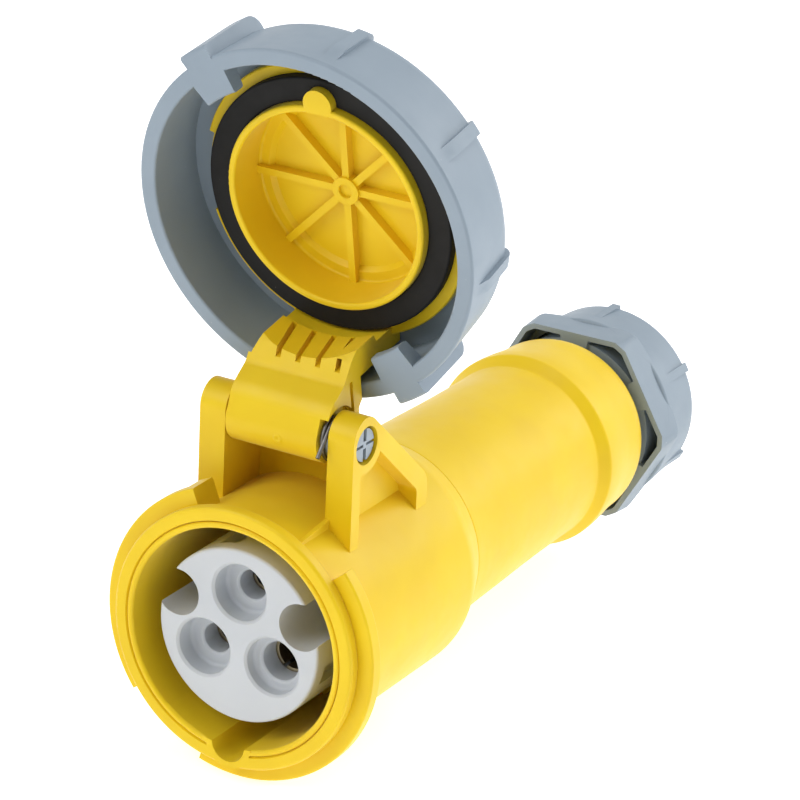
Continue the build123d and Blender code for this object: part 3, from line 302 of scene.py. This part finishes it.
def metal(name, colour, rough):
    """Turned metal with fine tool marks and light tarnish."""
    material = bpy.data.materials.new(name)
    material.use_nodes = True
    tree = material.node_tree
    shader = tree.nodes["Principled BSDF"]
    shader.inputs["Metallic"].default_value = 1.0
    place = node(tree, "ShaderNodeTexCoord").outputs["Object"]
    stretch = node(tree, "ShaderNodeMapping")
    stretch.inputs["Scale"].default_value = MARK_STRETCH
    link(tree, place, stretch.inputs["Vector"])
    marks = noise(tree, stretch.outputs["Vector"], MARK_SIZE, 2.0)
    tarnish = noise(tree, place, TARNISH_SIZE, 4.0)
    mix = node(tree, "ShaderNodeMix", data_type="RGBA")
    mix.inputs["A"].default_value = tuple(c * TARNISH_SHADE for c in colour[:3]) + (1,)
    mix.inputs["B"].default_value = colour
    link(tree, ranged(tree, tarnish, 0.0, 1.0), mix.inputs["Factor"])
    link(tree, mix.outputs["Result"], shader.inputs["Base Color"])
    link(tree, ranged(tree, tarnish, rough + TARNISH_ROUGHNESS, rough), shader.inputs["Roughness"])
    link(tree, bump(tree, marks, MARK_HEIGHT, MARK_STRENGTH), shader.inputs["Normal"])
    return material


# Material of each slot
MATERIALS = {
    "yellow_plastic": lambda name: plastic(name, YELLOW, YELLOW_DEEP, 0.42, scatter=0.06, sheen=0.12),
    "insert_plastic": lambda name: plastic(
        name, INSERT_GREY, INSERT_SHADE, 0.38, grain_mm=0.14, grain=0.2, scatter=0.05),
    "blue_grey_plastic": lambda name: plastic(name, BLUE_GREY, BLUE_GREY_SHADE, 0.44, dust=0.45),
    "pin_plastic": lambda name: plastic(name, PIN_GREY, PIN_SHADE, 0.4),
    "black_rubber": rubber,
    "contact_brass": lambda name: metal(name, BRASS, 0.28),
    "steel": lambda name: metal(name, STEEL, 0.3),
}


def dress(frame):
    """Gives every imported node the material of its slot, with softened edges."""
    made = {slot: make(slot) for slot, make in MATERIALS.items()}
    for row in frame["record"]["subparts"]:
        piece = frame["nodes"][row["node"]]
        piece.data.materials.clear()
        piece.data.materials.append(made[row["material_slot"]])
        soften(piece)
    return made


def make_gate_mark(material):
    """Small ring that the injection gate left on the hinge barrel."""
    mesh = bmesh.new()
    rings = []
    for radius, height in GATE_PROFILE[1:]:
        rings.append([])
        for index in range(GATE_SEGMENTS):
            turn = 2 * pi * index / GATE_SEGMENTS
            across, along = radius * cos(turn), radius * sin(turn)
            sag = sqrt(BARREL_R ** 2 - along ** 2)
            rings[-1].append(mesh.verts.new(Vector((across, along, sag + height)) * MM))
    middle = mesh.verts.new(Vector((0, 0, BARREL_R + GATE_PROFILE[0][1])) * MM)
    for index in range(GATE_SEGMENTS):
        after = (index + 1) % GATE_SEGMENTS
        mesh.faces.new((middle, rings[0][index], rings[0][after]))
        for inner, outer in zip(rings, rings[1:]):
            mesh.faces.new((inner[index], outer[index], outer[after], inner[after]))
    mesh.faces.new(rings[-1])
    bmesh.ops.recalc_face_normals(mesh, faces=mesh.faces)
    for face in mesh.faces:
        face.smooth = True
    data = bpy.data.meshes.new("gate_mark")
    mesh.to_mesh(data)
    mesh.free()
    data.materials.append(material)
    mark = bpy.data.objects.new("gate_mark", data)
    place = Matrix.Translation(Vector((GATE_X, HINGE_Y, HINGE_Z)) * MM)
    mark.matrix_world = place @ Matrix.Rotation(radians(GATE_ANGLE - 90), 4, "X")
    bpy.context.scene.collection.objects.link(mark)
    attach(mark, "lid_body")


def soften(piece):
    """Small rounded edge on every sharp corner of a moulded piece."""
    weld = piece.modifiers.new("weld", "WELD")
    weld.merge_threshold = WELD_DISTANCE
    edge = piece.modifiers.new("edge", "BEVEL")
    edge.width = EDGE_ROUND
    edge.segments = EDGE_SEGMENTS
    edge.limit_method = "ANGLE"
    edge.angle_limit = radians(EDGE_ANGLE)
    edge.use_clamp_overlap = True
    edge.harden_normals = False
    normals = piece.modifiers.new("normals", "WEIGHTED_NORMAL")
    normals.keep_sharp = True
    for face in piece.data.polygons:
        face.use_smooth = True


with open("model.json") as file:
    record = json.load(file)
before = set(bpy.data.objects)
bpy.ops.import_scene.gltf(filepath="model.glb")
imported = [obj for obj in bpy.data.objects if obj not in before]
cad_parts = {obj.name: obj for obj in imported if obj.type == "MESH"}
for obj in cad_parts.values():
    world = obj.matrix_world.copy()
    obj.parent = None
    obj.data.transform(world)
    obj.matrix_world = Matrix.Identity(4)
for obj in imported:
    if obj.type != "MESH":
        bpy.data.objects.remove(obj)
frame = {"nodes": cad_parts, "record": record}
packed_low, packed_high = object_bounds()
scene = bpy.context.scene
scene.view_settings.view_transform = "Standard"
make_camera()
make_world()
make_floor(packed_low.z)
for lamp in LAMPS:
    make_lamp(*lamp)
materials = dress(frame)
make_gate_mark(materials["yellow_plastic"])
